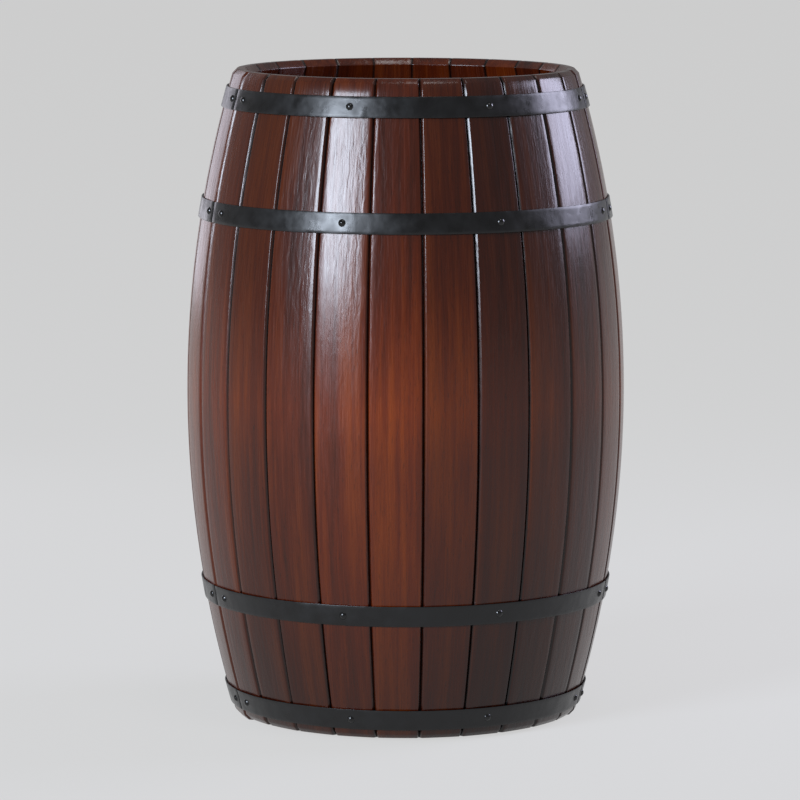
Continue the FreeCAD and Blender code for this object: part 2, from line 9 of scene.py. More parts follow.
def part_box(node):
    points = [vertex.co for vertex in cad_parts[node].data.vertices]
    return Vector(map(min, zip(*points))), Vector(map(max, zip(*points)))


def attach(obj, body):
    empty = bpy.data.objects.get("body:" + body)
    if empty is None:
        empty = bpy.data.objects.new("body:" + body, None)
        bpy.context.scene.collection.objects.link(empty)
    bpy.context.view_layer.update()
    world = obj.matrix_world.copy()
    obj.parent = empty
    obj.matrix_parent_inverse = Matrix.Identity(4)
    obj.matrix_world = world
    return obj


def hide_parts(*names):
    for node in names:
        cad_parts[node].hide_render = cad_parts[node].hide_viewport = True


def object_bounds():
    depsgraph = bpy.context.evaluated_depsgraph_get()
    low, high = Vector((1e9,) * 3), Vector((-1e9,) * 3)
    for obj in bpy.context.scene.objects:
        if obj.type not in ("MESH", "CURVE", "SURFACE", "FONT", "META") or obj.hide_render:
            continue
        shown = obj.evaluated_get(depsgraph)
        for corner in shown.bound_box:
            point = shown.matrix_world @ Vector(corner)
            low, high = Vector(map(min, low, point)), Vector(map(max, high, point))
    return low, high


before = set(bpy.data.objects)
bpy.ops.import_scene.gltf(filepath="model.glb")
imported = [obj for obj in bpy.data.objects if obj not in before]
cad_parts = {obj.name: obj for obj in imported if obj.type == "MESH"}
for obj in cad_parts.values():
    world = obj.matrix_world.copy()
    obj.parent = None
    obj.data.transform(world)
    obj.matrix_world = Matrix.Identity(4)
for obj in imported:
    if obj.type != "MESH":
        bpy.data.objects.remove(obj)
cad_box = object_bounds()

# Metres, +Z up. Azimuth runs in degrees from -Y, the middle of the door, towards +X. Depth runs inwards
# from the outer face of the staves, square to the bow.

# The barrel's shell
HEIGHT = cad_box[1][2]
MIDDLE = HEIGHT / 2
BELLY_RADIUS = 0.271
END_RADIUS = 0.212
STAVE_THICKNESS = 0.021
STAVE_COUNT = 25
DOOR_STAVE_COUNT = 10
PITCH = 360.0 / STAVE_COUNT
DOOR_EDGE = PITCH * DOOR_STAVE_COUNT / 2
SAGITTA = BELLY_RADIUS - END_RADIUS
BOW_RADIUS = (MIDDLE ** 2 + SAGITTA ** 2) / (2 * SAGITTA)
BOW_CENTRE = BELLY_RADIUS - BOW_RADIUS
HINGE_GAP = 0.0036
LATCH_GAP = 0.0020
DOOR_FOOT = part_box("door_stave_05")[0].z

# Stave ends, joints and faces
RIM_CHAMFER_HEIGHT = 0.006
RIM_CHAMFER_WIDTH = 0.004
RIM_BEVEL_HEIGHT = 0.008
RIM_BEVEL_WIDTH = 0.009
JOINT_CHAMFER = 0.0030
STAVE_ROWS = 56
STAVE_COLUMNS = 6
STAVE_FLATTER_BY = 0.115
STAVE_SETBACK = 0.0008
OPEN_EDGE_CLEAR = 0.0018
ARRIS = 0.0005
FACE_DEPTH = RIM_CHAMFER_WIDTH + 0.0015    # a joint's edges down to here belong to the outer face
STAVE_HALF_TURN = PITCH * 0.36             # about the flatter face's centre, past both joints
STRIP_SPARE = math.radians(0.2)            # extra length at each end of a strip, sawn off

# Heads
HEAD_THICKNESS = 0.018
HEAD_RECESS = 0.034
HEAD_BOARD_COUNT = 4
HEAD_TONGUE = 0.007
HEAD_EDGE_BEVEL = 0.012
HEAD_SHOULDER_GAP = 0.0015
HEAD_DOOR_CLEARANCE = 0.004
HEAD_BOARD_BEVEL = 0.0015
CROZE_DEPTH = 0.004
TONGUE_SLACK = 0.0002
FRONT_SPARE = 0.5                          # degrees that a head is cut back past the doorway
CUTTER_SPARE = 0.002
ROUND_CORNERS = 180

# Hoops and nails
HOOP_THICKNESS = 0.002
HOOP_ARRIS = 0.0005
HOOP_ROWS = 4
HOOP_STEP = 2.0                            # degrees between a band's upright rows
NAIL_HEAD_RADIUS = 0.0046
NAIL_HEAD_RISE = 0.0026
NAIL_SHANK_RADIUS = 0.0012
NAIL_SHANK_LENGTH = 0.015
NAIL_POINT_RADIUS = NAIL_SHANK_RADIUS * 0.2
NAIL_POINT_LENGTH = 2 * NAIL_SHANK_RADIUS
NAIL_DOME_SHARES = (0.92, 0.78, 0.60, 0.40, 0.20, 0.06)
NAIL_CORNERS = 20
DOOR_NAIL_AZIMUTHS = (-66.5, -22.0, 22.0, 66.5)
BODY_NAIL_AZIMUTHS = (75.5, 122.0, 166.0, 194.0, 238.0, 284.5)

# Inner woodwork
LINING_THICKNESS = 0.016
JAMB_WIDTH = 0.036
STOP_LAP = 0.010
STOP_CLEARANCE = 0.0008
RIB_AZIMUTHS = (-66.0, 62.0)
SHELF_WALL_GAP = 0.0006
SHELF_FRONT_RADIUS = 0.230
SHELF_FRONT_AZIMUTH = 84.0
CLEAT_AZIMUTHS = (112.0, 180.0, 248.0)
CLEAT_HALF_SPAN = 8.5
WOOD_ARRIS = 0.0012
WOOD_ARRIS_SEGMENTS = 3
LINING_ROW = 0.015
REBATE_SPARE = 1.0

# Hinge pins, as places in the frame at the door's edge
PIN_RADIAL = BELLY_RADIUS - 0.013
PIN_TANGENT = -(HINGE_GAP / 2 + 0.020)
HINGE_HEIGHTS = [(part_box(node)[0].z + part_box(node)[1].z) / 2
                 for node in ("hinge_leaf_lower", "hinge_leaf_upper")]
POCKET_SIDE = 0.0056
POCKET_MOUTH = 0.040
POCKET_EASE = 0.0006

# Angles in degrees: arrises sharper than the first are rounded, faces that meet under the others look smooth
SHARP = 40.0
SMOOTH = 32.0
SMOOTH_NAIL = 50.0

# How hand work varies: how far each stave is turned in its hoops, in degrees. And how light each stave comes
# out: at random within a range, and listed one by one for the door staves
STAVE_LEAN = 0.35
DOOR_LEANS = (0.0, -0.8, 0.1, -0.2, 0.1, 0.4, 0.7, 0.2, -0.2, 0.0)
TONE_RANGE = (0.80, 1.10)
DOOR_TONES = (0.92, 0.66, 0.78, 1.12, 1.18, 0.80, 0.55, 0.62, 0.64, 0.68)
GRAIN_SPREAD = 5.0                         # boards come from places up to this far off in the wood
NO_JOINT = 1.0                             # a distance that stands for no joint near

# Studio, in metres, watts and sRGB colours
CAMERA_AZIMUTH = -4.7
CAMERA_DISTANCE = 6.162
CAMERA_HEIGHT = 1.189
CAMERA_FOCUS = 5011 / 800
SENSOR_WIDTH = 36.0
AIM_HEIGHT = 0.3882
AIM_SIDE = -0.0068
CAMERA_REACH = 120.0
FLOOR_RADIUS = 60.0
FLOOR_CORNERS = 96
FLOOR_COLOR = "#5a5a5a"
FLOOR_GLOW = 0.59
WORLD_COLOR = "#f2f2f4"
WORLD_LIGHT = 0.20
WORLD_SEEN = 0.34
# Each softbox: azimuth, elevation, distance from the axis, width, height, watts, colour
SOFTBOXES = (
    ("key_softbox", -45.5, 17.8, 9.0, 3.1, 4.0, 1200.0, "#e2eeff"),
    ("left_rim_softbox", -150.0, 14.0, 2.2, 0.8, 1.2, 5.0, "#f2efff"),
    ("right_softbox", 102.0, 26.0, 1.9, 1.0, 1.1, 36.0, "#e2e2ff"),
    ("overhead_softbox", 20.0, 72.0, 2.2, 1.6, 1.6, 60.0, "#ffffff"),
)

FAR = 0.45                                 # a radius outside the whole barrel
TOUCH = 1e-5                               # places closer than this are one place

dice = random.Random(25)


def radius_at(height, depth=0.0):
    """Radius of the bowed surface that lies this deep in the wall."""
    return BOW_CENTRE + math.sqrt((BOW_RADIUS - depth) ** 2 - (height - MIDDLE) ** 2)


def outwards(azimuth):
    return Vector((math.sin(math.radians(azimuth)), -math.cos(math.radians(azimuth)), 0))


def sideways(azimuth):
    """Direction of greater azimuth."""
    return Vector((math.cos(math.radians(azimuth)), math.sin(math.radians(azimuth)), 0))


def depth_of(place):
    """How deep in the wall a place lies, square to the bow."""
    radial = math.hypot(place.x, place.y) - BOW_CENTRE
    return BOW_RADIUS - math.hypot(radial, place.z - MIDDLE)


def azimuth_of(place):
    return math.degrees(math.atan2(place.x, -place.y))


# ---- modelling by hand tools ----

def begin(name, add, **settings):
    """A primitive at its place, alone in the selection and open for editing."""
    bpy.ops.object.select_all(action="DESELECT")
    add(**settings)
    piece = bpy.context.object
    piece.name = piece.data.name = name
    bpy.ops.object.transform_apply()
    bpy.ops.object.mode_set(mode="EDIT")
    return piece


def pick_corners(test):
    """Selects the corners at places that pass the test, and what lies wholly between them."""
    bpy.ops.mesh.select_mode(type="VERT")
    mesh = bmesh.from_edit_mesh(bpy.context.object.data)
    for corner in mesh.verts:
        corner.select = bool(test(corner.co))
    mesh.select_flush_mode()
    bmesh.update_edit_mesh(bpy.context.object.data)


def pick_edges(test):
    """Selects the edges whose two end places pass the test."""
    bpy.ops.mesh.select_mode(type="EDGE")
    bpy.ops.mesh.select_all(action="DESELECT")
    mesh = bmesh.from_edit_mesh(bpy.context.object.data)
    for edge in mesh.edges:
        edge.select = bool(test(edge.verts[0].co, edge.verts[1].co))
    mesh.select_flush_mode()
    bmesh.update_edit_mesh(bpy.context.object.data)


def pick_all():
    bpy.ops.mesh.select_all(action="SELECT")


def turn(angle, centre, axis):
    """Turns the selection right-handed. Without a window the tool turns the other way."""
    bpy.ops.transform.rotate(value=-angle, orient_axis=axis, orient_type="GLOBAL", center_override=centre)


def move(x=0.0, y=0.0, z=0.0):
    bpy.ops.transform.translate(value=(x, y, z))


def saw(place, facing, fill=True):
    """Cuts the selection along a plane and takes away what lies on the side that the plane faces."""
    bpy.ops.mesh.bisect(plane_co=place, plane_no=Vector(facing).normalized(), use_fill=fill,
                        clear_outer=True, threshold=TOUCH)


def close_up():
    """Merges doubled corners, turns all faces outwards and leaves edit mode."""
    pick_all()
    bpy.ops.mesh.remove_doubles(threshold=TOUCH)
    pick_all()
    bpy.ops.mesh.normals_make_consistent(inside=False)
    bpy.ops.object.mode_set(mode="OBJECT")
    return bpy.context.object


def work_on(*pieces):
    """Makes these pieces the whole selection, and the first of them the active one."""
    bpy.ops.object.select_all(action="DESELECT")
    for piece in pieces:
        piece.select_set(True)
    bpy.context.view_layer.objects.active = pieces[0]


def finish_with(piece, kind, **settings):
    """Adds a modifier and applies it."""
    work_on(piece)
    modifier = piece.modifiers.new(kind.title(), kind)
    for name, value in settings.items():
        setattr(modifier, name, value)
    bpy.ops.object.modifier_apply(modifier=modifier.name)


def soften(piece, width, segments=2):
    """Rounds every sharp arris."""
    finish_with(piece, "BEVEL", width=width, segments=segments, limit_method="ANGLE",
                angle_limit=math.radians(SHARP), use_clamp_overlap=True)


def smooth(piece, angle=SMOOTH):
    work_on(piece)
    bpy.ops.object.shade_smooth_by_angle(angle=math.radians(angle))


def cut_away(piece, cutter):
    """Takes the cutter's shape out of the piece, and the cutter away."""
    finish_with(piece, "BOOLEAN", operation="DIFFERENCE", object=cutter, solver="EXACT")
    bpy.data.objects.remove(cutter)


def copy_of(piece, name, placing):
    """A copy with a mesh of its own, placed in that mesh."""
    twin = piece.copy()
    twin.data = piece.data.copy()
    twin.name = twin.data.name = name
    bpy.context.scene.collection.objects.link(twin)
    twin.data.transform(placing)
    return twin


def join(pieces, name):
    work_on(*pieces)
    bpy.ops.object.join()
    pieces[0].name = pieces[0].data.name = name
    return pieces[0]


# ---- the bowed wall ----

def wall_strip(name, outer_depth, inner_depth, low, high, rows):
    """Upright strip at azimuth 0 that fills the wall between two depths and two heights."""
    thickness = inner_depth - outer_depth
    radius = BELLY_RADIUS - (outer_depth + inner_depth) / 2
    begin(name, bpy.ops.mesh.primitive_plane_add, size=thickness, location=(0, -radius, MIDDLE),
          rotation=(0, math.pi / 2, 0))
    pick_corners(lambda place: place.z > MIDDLE)
    bpy.ops.mesh.delete(type="VERT")
    pick_all()
    move(z=thickness / 2)
    bow_axis = (0, -BOW_CENTRE, MIDDLE)
    lowest = math.asin((low - MIDDLE) / (BOW_RADIUS - inner_depth)) - STRIP_SPARE
    highest = math.asin((high - MIDDLE) / (BOW_RADIUS - inner_depth)) + STRIP_SPARE
    turn(-lowest, bow_axis, "X")
    bpy.ops.mesh.spin(steps=rows, angle=highest - lowest, center=bow_axis, axis=(1, 0, 0))
    pick_all()
    saw((0, 0, high), (0, 0, 1), fill=False)
    pick_all()
    saw((0, 0, low), (0, 0, -1), fill=False)


def spin_about(centre_y, azimuth_from, azimuth_to, steps):
    """Turns the whole strip to a first azimuth, and spins it into a solid as far as a second one."""
    centre = (0, centre_y, 0)
    pick_all()
    turn(math.radians(azimuth_from), centre, "Z")
    bpy.ops.mesh.spin(steps=steps, angle=math.radians(azimuth_to - azimuth_from), center=centre,
                      axis=(0, 0, -1))


def band(name, outer_depth, inner_depth, low, high, azimuth_from, azimuth_to, rows, step):
    """Closed band of the wall between two depths, two heights and two azimuths."""
    wall_strip(name, outer_depth, inner_depth, low, high, rows)
    steps = max(1, round((azimuth_to - azimuth_from) / step))
    spin_about(0, azimuth_from, azimuth_to, steps)
    return close_up()


def shape_ends(foot):
    """Trims a stave's upright strip to its outer chamfers and its inner rim bevels."""
    for end, inwards in ((HEIGHT, -1), (foot, 1)):
        chamfer_start = end + inwards * RIM_CHAMFER_HEIGHT
        outer = Vector((0, -radius_at(chamfer_start), chamfer_start))
        tip = Vector((0, RIM_CHAMFER_WIDTH - radius_at(end), end))
        facing = (tip - outer).cross(Vector((1, 0, 0)))
        pick_all()
        saw(outer, facing * math.copysign(1, -facing.y), fill=False)
        bevel_start = end + inwards * RIM_BEVEL_HEIGHT
        inner = Vector((0, -radius_at(bevel_start, STAVE_THICKNESS), bevel_start))
        tip = Vector((0, -radius_at(end, STAVE_THICKNESS) - RIM_BEVEL_WIDTH, end))
        facing = (tip - inner).cross(Vector((1, 0, 0)))
        pick_all()
        saw(inner, facing * math.copysign(1, facing.y), fill=False)


def cut_croze():
    """Takes the two grooves for the heads out of a fixed stave's upright strip."""
    middle = HEAD_RECESS + HEAD_THICKNESS / 2
    for centre in (middle, HEIGHT - middle):
        low, high = centre - HEAD_TONGUE / 2, centre + HEAD_TONGUE / 2
        floor = radius_at(centre, STAVE_THICKNESS) + CROZE_DEPTH
        for height in (low, high):
            pick_all()
            bpy.ops.mesh.bisect(plane_co=(0, 0, height), plane_no=(0, 0, 1))
        pick_corners(lambda place: low - TOUCH < place.z < high + TOUCH)
        bpy.ops.mesh.bisect(plane_co=(0, -floor, 0), plane_no=(0, 1, 0))
        pick_corners(lambda place: low - TOUCH < place.z < high + TOUCH and -place.y < floor + TOUCH)
        bpy.ops.mesh.delete(type="FACE")


def stave(name, foot, grooved, low_gap, high_gap):
    """Stave at azimuth 0. Its face is a little flatter across than the barrel is round."""
    wall_strip(name, 0.0, STAVE_THICKNESS, foot, HEIGHT, STAVE_ROWS)
    shape_ends(foot)
    if grooved:
        cut_croze()
    spin_about(STAVE_FLATTER_BY, -STAVE_HALF_TURN, STAVE_HALF_TURN, STAVE_COLUMNS)
    pick_all()
    move(y=STAVE_SETBACK)
    sides = []
    for azimuth, gap, sign in ((PITCH / 2, high_gap, 1), (-PITCH / 2, low_gap, -1)):
        facing = sideways(azimuth) * sign
        pick_all()
        saw(facing * -gap, facing)
        sides.append((facing, -gap))

    def on_side(place):
        return any(abs(place.dot(facing) - reach) < TOUCH for facing, reach in sides)

    def near_face(place):
        return depth_of(place) < FACE_DEPTH

    pick_edges(lambda a, b: on_side(a) and on_side(b) and near_face(a) and near_face(b)
               and a.x * b.x > 0)
    bpy.ops.mesh.bevel(offset=JOINT_CHAMFER, segments=1, affect="EDGES")
    piece = close_up()
    soften(piece, ARRIS)
    smooth(piece)
    joints = [(facing, reach + (OPEN_EDGE_CLEAR if reach else 0)) for facing, reach in sides]
    lay_grain(piece, up_the_stave, joints)
    return piece


def keep(piece, name, kind, field, values):
    """Keeps one value for each corner of the piece, for its material to read."""
    attribute = piece.data.attributes.new(name, kind, "POINT")
    attribute.data.foreach_set(field, values)


def lay_grain(piece, along, sides=()):
    """Keeps each corner's place in the board, and how far it is from the nearest joint."""
    places = [corner.co.copy() for corner in piece.data.vertices]
    keep(piece, "grain", "FLOAT_VECTOR", "vector", [step for place in places for step in along(place)])
    keep(piece, "seam", "FLOAT", "value",
         [min([reach - place.dot(facing) for facing, reach in sides] + [NO_JOINT]) for place in places])


def own_board(piece, tone=1.0):
    """Gives a piece of wood a grain of its own, and how light it comes out."""
    start = Vector([dice.uniform(-GRAIN_SPREAD, GRAIN_SPREAD) for _ in range(3)])
    for cell in piece.data.attributes["grain"].data:
        cell.vector = Vector(cell.vector) + start
    keep(piece, "tone", "FLOAT", "value", [tone] * len(piece.data.vertices))


def up_the_stave(place):
    return Vector((place.x, depth_of(place), place.z))


def round_the_barrel(place):
    return Vector((place.z, depth_of(place), math.radians(azimuth_of(place)) * BELLY_RADIUS))


def across_the_barrel(place):
    return Vector((place.y, place.z, place.x))


# ---- materials ----

def linear(code):
    """Linear colour of an sRGB hex value."""
    channels = [int(code[i:i + 2], 16) / 255 for i in (1, 3, 5)]
    return (*(c / 12.92 if c <= 0.04045 else ((c + 0.055) / 1.055) ** 2.4 for c in channels), 1.0)


def add(tree, kind, give=None, stops=(), **settings):
    """Adds a node and gives one of its outputs. A setting is one of the node's own properties, or a
    socket's, by its name with _ for spaces: a value or another node's output to link, and a list of them
    where several sockets have that name. Stops are a ramp's places from 0 to 1, with colours or greys."""
    node = tree.nodes.new(kind)
    own = [name for name in settings if name in node.bl_rna.properties]
    for name in own:
        setattr(node, name, settings[name])
    for name, setting in settings.items():
        if name in own:
            continue
        sockets = [s for s in node.inputs if s.enabled and s.name == name.replace("_", " ")]
        values = setting if isinstance(setting, list) else [setting]
        for socket, value in zip(sockets, values, strict=True):
            if isinstance(value, bpy.types.NodeSocket):
                tree.links.new(value, socket)
            else:
                socket.default_value = value
    if stops:
        elements = node.color_ramp.elements
        while len(elements) < len(stops):
            elements.new(0.5)
        for element, (place, value) in zip(elements, stops):
            element.position = place
            element.color = linear(value) if isinstance(value, str) else (value, value, value, 1)
    return next((s for s in node.outputs if s.enabled and give in (None, s.name)), node)


def begin_material(name):
    new = bpy.data.materials.new(name)
    new.use_nodes = True
    new.node_tree.nodes.clear()
    return new, new.node_tree


# Sizes of the wood's figure in metres, across the grain and along it
WOOD_CLOUD = (0.045, 0.60)
WOOD_STREAK = (0.0075, 0.22)
WOOD_FIBRE = (0.0016, 0.045)               # real ones are about 0.3 mm, too fine to show
WOOD_PORE = (0.0011, 0.012)                # real ones are about 0.2 mm, too fine to show
WOOD_PLANING = (0.0065, 0.028)

# Share of the wood's lightness by height, from the floor at 0 to the rim at 1: partly a toner darker towards
# the ends, partly painted shade for the lamps' light falling off above and below the belly, most towards the
# floor
TONER_AND_PAINTED_SHADE = ((0.0, 0.26), (0.14, 0.42), (0.29, 0.65), (0.43, 0.76), (0.51, 1.0), (0.60, 0.78), (0.72, 0.52),
           (1.0, 0.40))
JOINT_STAIN = (0.0004, 0.0030)             # the dark stain in a joint ends between these distances
JOINT_STAIN_LIGHTNESS = 0.06


def stained_wood(name, dark, middle, light, gloss, ior):
    """Rubberwood, planed, wiped with stain and varnished with a spray gun. The eye sees long soft streaks,
    short dark pores, a tone of its own in each board, darker stain settled in the joints, and wood that grows
    darker
    towards the ends of the barrel: partly toner, partly painted shade for the lamps' light falling off away
    from the belly. The varnish shows faint flats from the plane."""
    wood, tree = begin_material(name)
    place = add(tree, "ShaderNodeAttribute", "Vector", attribute_name="grain")

    def grain_noise(size, detail=2.0, distortion=0.0):
        across, along = size
        scaled = add(tree, "ShaderNodeMapping", Vector=place, Scale=(1 / across, 1 / across, 1 / along))
        return add(tree, "ShaderNodeTexNoise", Vector=scaled, Scale=1.0, Detail=detail,
                   Distortion=distortion)

    streaks = grain_noise(WOOD_STREAK, 5.0, 0.4)
    fibres = grain_noise(WOOD_FIBRE, 3.0)
    mixed = add(tree, "ShaderNodeMix", A=grain_noise(WOOD_CLOUD), B=streaks, Factor=0.45)
    mixed = add(tree, "ShaderNodeMix", A=mixed, B=fibres, Factor=0.16)
    color = add(tree, "ShaderNodeValToRGB", Fac=mixed, stops=((0.30, dark), (0.48, middle), (0.68, light)))
    pores = add(tree, "ShaderNodeValToRGB", Fac=grain_noise(WOOD_PORE), stops=((0.28, 0.60), (0.40, 1.0)))
    joint = add(tree, "ShaderNodeMapRange", From_Min=JOINT_STAIN[0], From_Max=JOINT_STAIN[1],
                To_Min=JOINT_STAIN_LIGHTNESS, To_Max=1.0,
                Value=add(tree, "ShaderNodeAttribute", "Fac", attribute_name="seam"))
    tone = add(tree, "ShaderNodeAttribute", "Fac", attribute_name="tone")
    height = add(tree, "ShaderNodeSeparateXYZ", "Z", Vector=add(tree, "ShaderNodeTexCoord", "Object"))
    share = add(tree, "ShaderNodeMath", operation="DIVIDE", Value=[height, HEIGHT])
    # painted shade along with the toner: the wood darkens by height away from the belly
    toner_and_shade = add(tree, "ShaderNodeValToRGB", Fac=share, stops=TONER_AND_PAINTED_SHADE)
    for shade in (pores, joint, tone, toner_and_shade):
        color = add(tree, "ShaderNodeMix", data_type="RGBA", blend_type="MULTIPLY", Factor=1.0, A=color,
                    B=shade)
    planing = grain_noise(WOOD_PLANING, 2.0, 0.8)
    relief = add(tree, "ShaderNodeBump", Height=planing, Distance=0.00030, Strength=1.0)
    relief = add(tree, "ShaderNodeBump", Height=streaks, Distance=0.0002, Strength=1.0, Normal=relief)
    relief = add(tree, "ShaderNodeBump", Height=fibres, Distance=0.00005, Strength=1.0, Normal=relief)
    rough = add(tree, "ShaderNodeMapRange", Value=fibres, From_Min=0.3, From_Max=0.7,
                To_Min=gloss[0], To_Max=gloss[1])
    add(tree, "ShaderNodeOutputMaterial", Surface=add(
        tree, "ShaderNodeBsdfPrincipled", Base_Color=color, Roughness=rough, Normal=relief, IOR=ior))
    return wood


HAMMER_DENT = 0.030
ORANGE_PEEL = 0.0016
PAINT_PATCH = 0.020


def black_paint(name, color, gloss, dents):
    """Rolled steel strip brushed with black enamel. The eye sees a near-black satin skin with slow dents
    from the hammer and a faint orange peel."""
    paint, tree = begin_material(name)
    place = add(tree, "ShaderNodeTexCoord", "Object")
    dent = add(tree, "ShaderNodeTexNoise", Vector=place, Scale=1 / HAMMER_DENT, Detail=2.0)
    peel = add(tree, "ShaderNodeTexNoise", Vector=place, Scale=1 / ORANGE_PEEL, Detail=2.0)
    patch = add(tree, "ShaderNodeTexNoise", Vector=place, Scale=1 / PAINT_PATCH, Detail=4.0)
    relief = add(tree, "ShaderNodeBump", Height=dent, Distance=dents, Strength=1.0)
    relief = add(tree, "ShaderNodeBump", Height=peel, Distance=0.00004, Strength=1.0, Normal=relief)
    rough = add(tree, "ShaderNodeMapRange", Value=patch, From_Min=0.3, From_Max=0.7,
                To_Min=gloss[0], To_Max=gloss[1])
    skin = add(tree, "ShaderNodeValToRGB", Fac=patch, stops=((0.3, color[0]), (0.7, color[1])))
    add(tree, "ShaderNodeOutputMaterial", Surface=add(
        tree, "ShaderNodeBsdfPrincipled", Base_Color=skin, Roughness=rough, Normal=relief, IOR=1.46))
    return paint


ZINC_CLOUD = 0.006


def zinc_plate(name):
    """Pressed steel plated with zinc and passivated. The eye sees pale grey metal, a little cloudy."""
    zinc, tree = begin_material(name)
    place = add(tree, "ShaderNodeTexCoord", "Object")
    cloud = add(tree, "ShaderNodeTexNoise", Vector=place, Scale=1 / ZINC_CLOUD, Detail=5.0)
    rough = add(tree, "ShaderNodeMapRange", Value=cloud, From_Min=0.3, From_Max=0.7, To_Min=0.60,
                To_Max=0.76)
    relief = add(tree, "ShaderNodeBump", Height=cloud, Distance=0.00003, Strength=1.0)
    skin = add(tree, "ShaderNodeValToRGB", Fac=cloud, stops=((0.3, "#7d8183"), (0.7, "#979a9c")))
    add(tree, "ShaderNodeOutputMaterial", Surface=add(
        tree, "ShaderNodeBsdfPrincipled", Base_Color=skin, Roughness=rough, Normal=relief, Metallic=1.0))
    return zinc


MOULD_GRAIN = 0.0005
GLOSS_SPREAD = 0.04


def moulded_plastic(name, dark, light, roughness):
    """Injection-moulded plastic with a fine spark-eroded grain. The eye sees an even, slightly soft skin."""
    plastic, tree = begin_material(name)
    place = add(tree, "ShaderNodeTexCoord", "Object")
    grain = add(tree, "ShaderNodeTexNoise", Vector=place, Scale=1 / MOULD_GRAIN, Detail=2.0)
    relief = add(tree, "ShaderNodeBump", Height=grain, Distance=0.00002, Strength=1.0)
    rough = add(tree, "ShaderNodeMapRange", Value=grain, From_Min=0.3, From_Max=0.7,
                To_Min=roughness - GLOSS_SPREAD, To_Max=roughness + GLOSS_SPREAD)
    skin = add(tree, "ShaderNodeValToRGB", Fac=grain, stops=((0.3, dark), (0.7, light)))
    add(tree, "ShaderNodeOutputMaterial", Surface=add(
        tree, "ShaderNodeBsdfPrincipled", Base_Color=skin, Roughness=rough, Normal=relief, IOR=1.5))
    return plastic


STAVE_WOOD = stained_wood("stained_varnished_rubberwood", "#330d01", "#601f02", "#853806", (0.19, 0.30), 1.45)
INNER_WOOD = stained_wood("stained_satin_rubberwood", "#4a2010", "#74381c", "#95552e", (0.42, 0.55), 1.42)
HOOP_PAINT = black_paint("black_enamel_on_strip", ("#050506", "#0c0c0d"), (0.22, 0.42), 0.0011)
NAIL_PAINT = black_paint("black_enamel_on_nails", ("#050506", "#0a0a0b"), (0.12, 0.20), 0.0002)
ZINC = zinc_plate("zinc_plated_steel")
CASE_PLASTIC = moulded_plastic("black_abs", "#141416", "#1c1c1f", 0.45)
PLUNGER_PLASTIC = moulded_plastic("white_acetal", "#cfcfc8", "#dcdcd6", 0.35)


# ---- pieces ----

def settle(piece, body, finish, slot, *nodes):
    """The last step for every piece: its finish, what it moves with and which nodes it stands for."""
    piece.data.materials.clear()
    piece.data.materials.append(finish)
    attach(piece, body)
    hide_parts(*nodes)


def at_azimuth(azimuth):
    return Matrix.Rotation(math.radians(azimuth), 4, "Z")


def make_staves():
    """Ten door staves and fifteen fixed ones, each turned a little in its hoops as it was knocked home."""
    pivot = Matrix.Translation((0, -BELLY_RADIUS, 0))
    for kind, count, foot, first, gaps in (
            ("door", DOOR_STAVE_COUNT, DOOR_FOOT, -DOOR_EDGE, (LATCH_GAP / 2, HINGE_GAP / 2)),
            ("body", STAVE_COUNT - DOOR_STAVE_COUNT, 0.0, DOOR_EDGE, (HINGE_GAP / 2, LATCH_GAP / 2))):
        plain = stave("plain_stave", foot, kind == "body", 0.0, 0.0)
        for index in range(count):
            node = "%s_stave_%02d" % (kind, index + 1)
            if index == 0:
                master = stave("first_stave", foot, kind == "body", gaps[0], 0.0)
            elif index == count - 1:
                master = stave("last_stave", foot, kind == "body", 0.0, gaps[1])
            else:
                master = plain
            lean = DOOR_LEANS[index] if kind == "door" else dice.uniform(-STAVE_LEAN, STAVE_LEAN)
            if master != plain:
                lean = 0.0
            twist = pivot @ Matrix.Rotation(math.radians(lean), 4, "Z") @ pivot.inverted()
            middle = first + (index + 0.5) * PITCH
            piece = copy_of(master, "varnished_" + node, at_azimuth(middle) @ twist)
            if master != plain:
                bpy.data.objects.remove(master)
            if node == "door_stave_%02d" % DOOR_STAVE_COUNT:
                cut_hinge_pockets(piece)
            own_board(piece, DOOR_TONES[index] if kind == "door" else dice.uniform(*TONE_RANGE))
            settle(piece, "door" if kind == "door" else "cabinet_body", STAVE_WOOD, "stave_wood", node)
        bpy.data.objects.remove(plain)


def cut_hinge_pockets(piece):
    """Pockets for the hinge knuckles, open to the inside and at the door's edge."""
    half_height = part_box("hinge_leaf_lower")[1].z - HINGE_HEIGHTS[0] + POCKET_EASE
    outer, inner = PIN_RADIAL + POCKET_SIDE, PIN_RADIAL - POCKET_MOUTH
    near, far = PIN_TANGENT - POCKET_SIDE, POCKET_SIDE
    for height in HINGE_HEIGHTS:
        begin("pocket", bpy.ops.mesh.primitive_cube_add, size=1,
              location=((near + far) / 2, -(outer + inner) / 2, height))
        pick_all()
        bpy.ops.transform.resize(value=(far - near, outer - inner, 2 * half_height),
                                 center_override=((near + far) / 2, -(outer + inner) / 2, height))
        turn(math.radians(DOOR_EDGE), (0, 0, 0), "Z")
        cut_away(piece, close_up())


def make_hoops():
    """Four hoops, each cut at the two edges of the door."""
    for name in ("foot", "lower", "upper", "rim"):
        for kind, body, start, end, gaps in (
                ("door", "door", -DOOR_EDGE, DOOR_EDGE, (LATCH_GAP, HINGE_GAP)),
                ("body", "cabinet_body", DOOR_EDGE, 360 - DOOR_EDGE, (HINGE_GAP, LATCH_GAP))):
            node = "%s_hoop_%s" % (kind, name)
            low, high = (corner.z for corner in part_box(node))
            radius = radius_at((low + high) / 2)
            ends = [math.degrees(gap / 2 / radius) for gap in gaps]
            piece = band("enamelled_" + node, -HOOP_THICKNESS, 0.0, low, high, start + ends[0],
                         end - ends[1], HOOP_ROWS, HOOP_STEP)
            soften(piece, HOOP_ARRIS)
            smooth(piece)
            settle(piece, body, HOOP_PAINT, "hoop_iron", node)


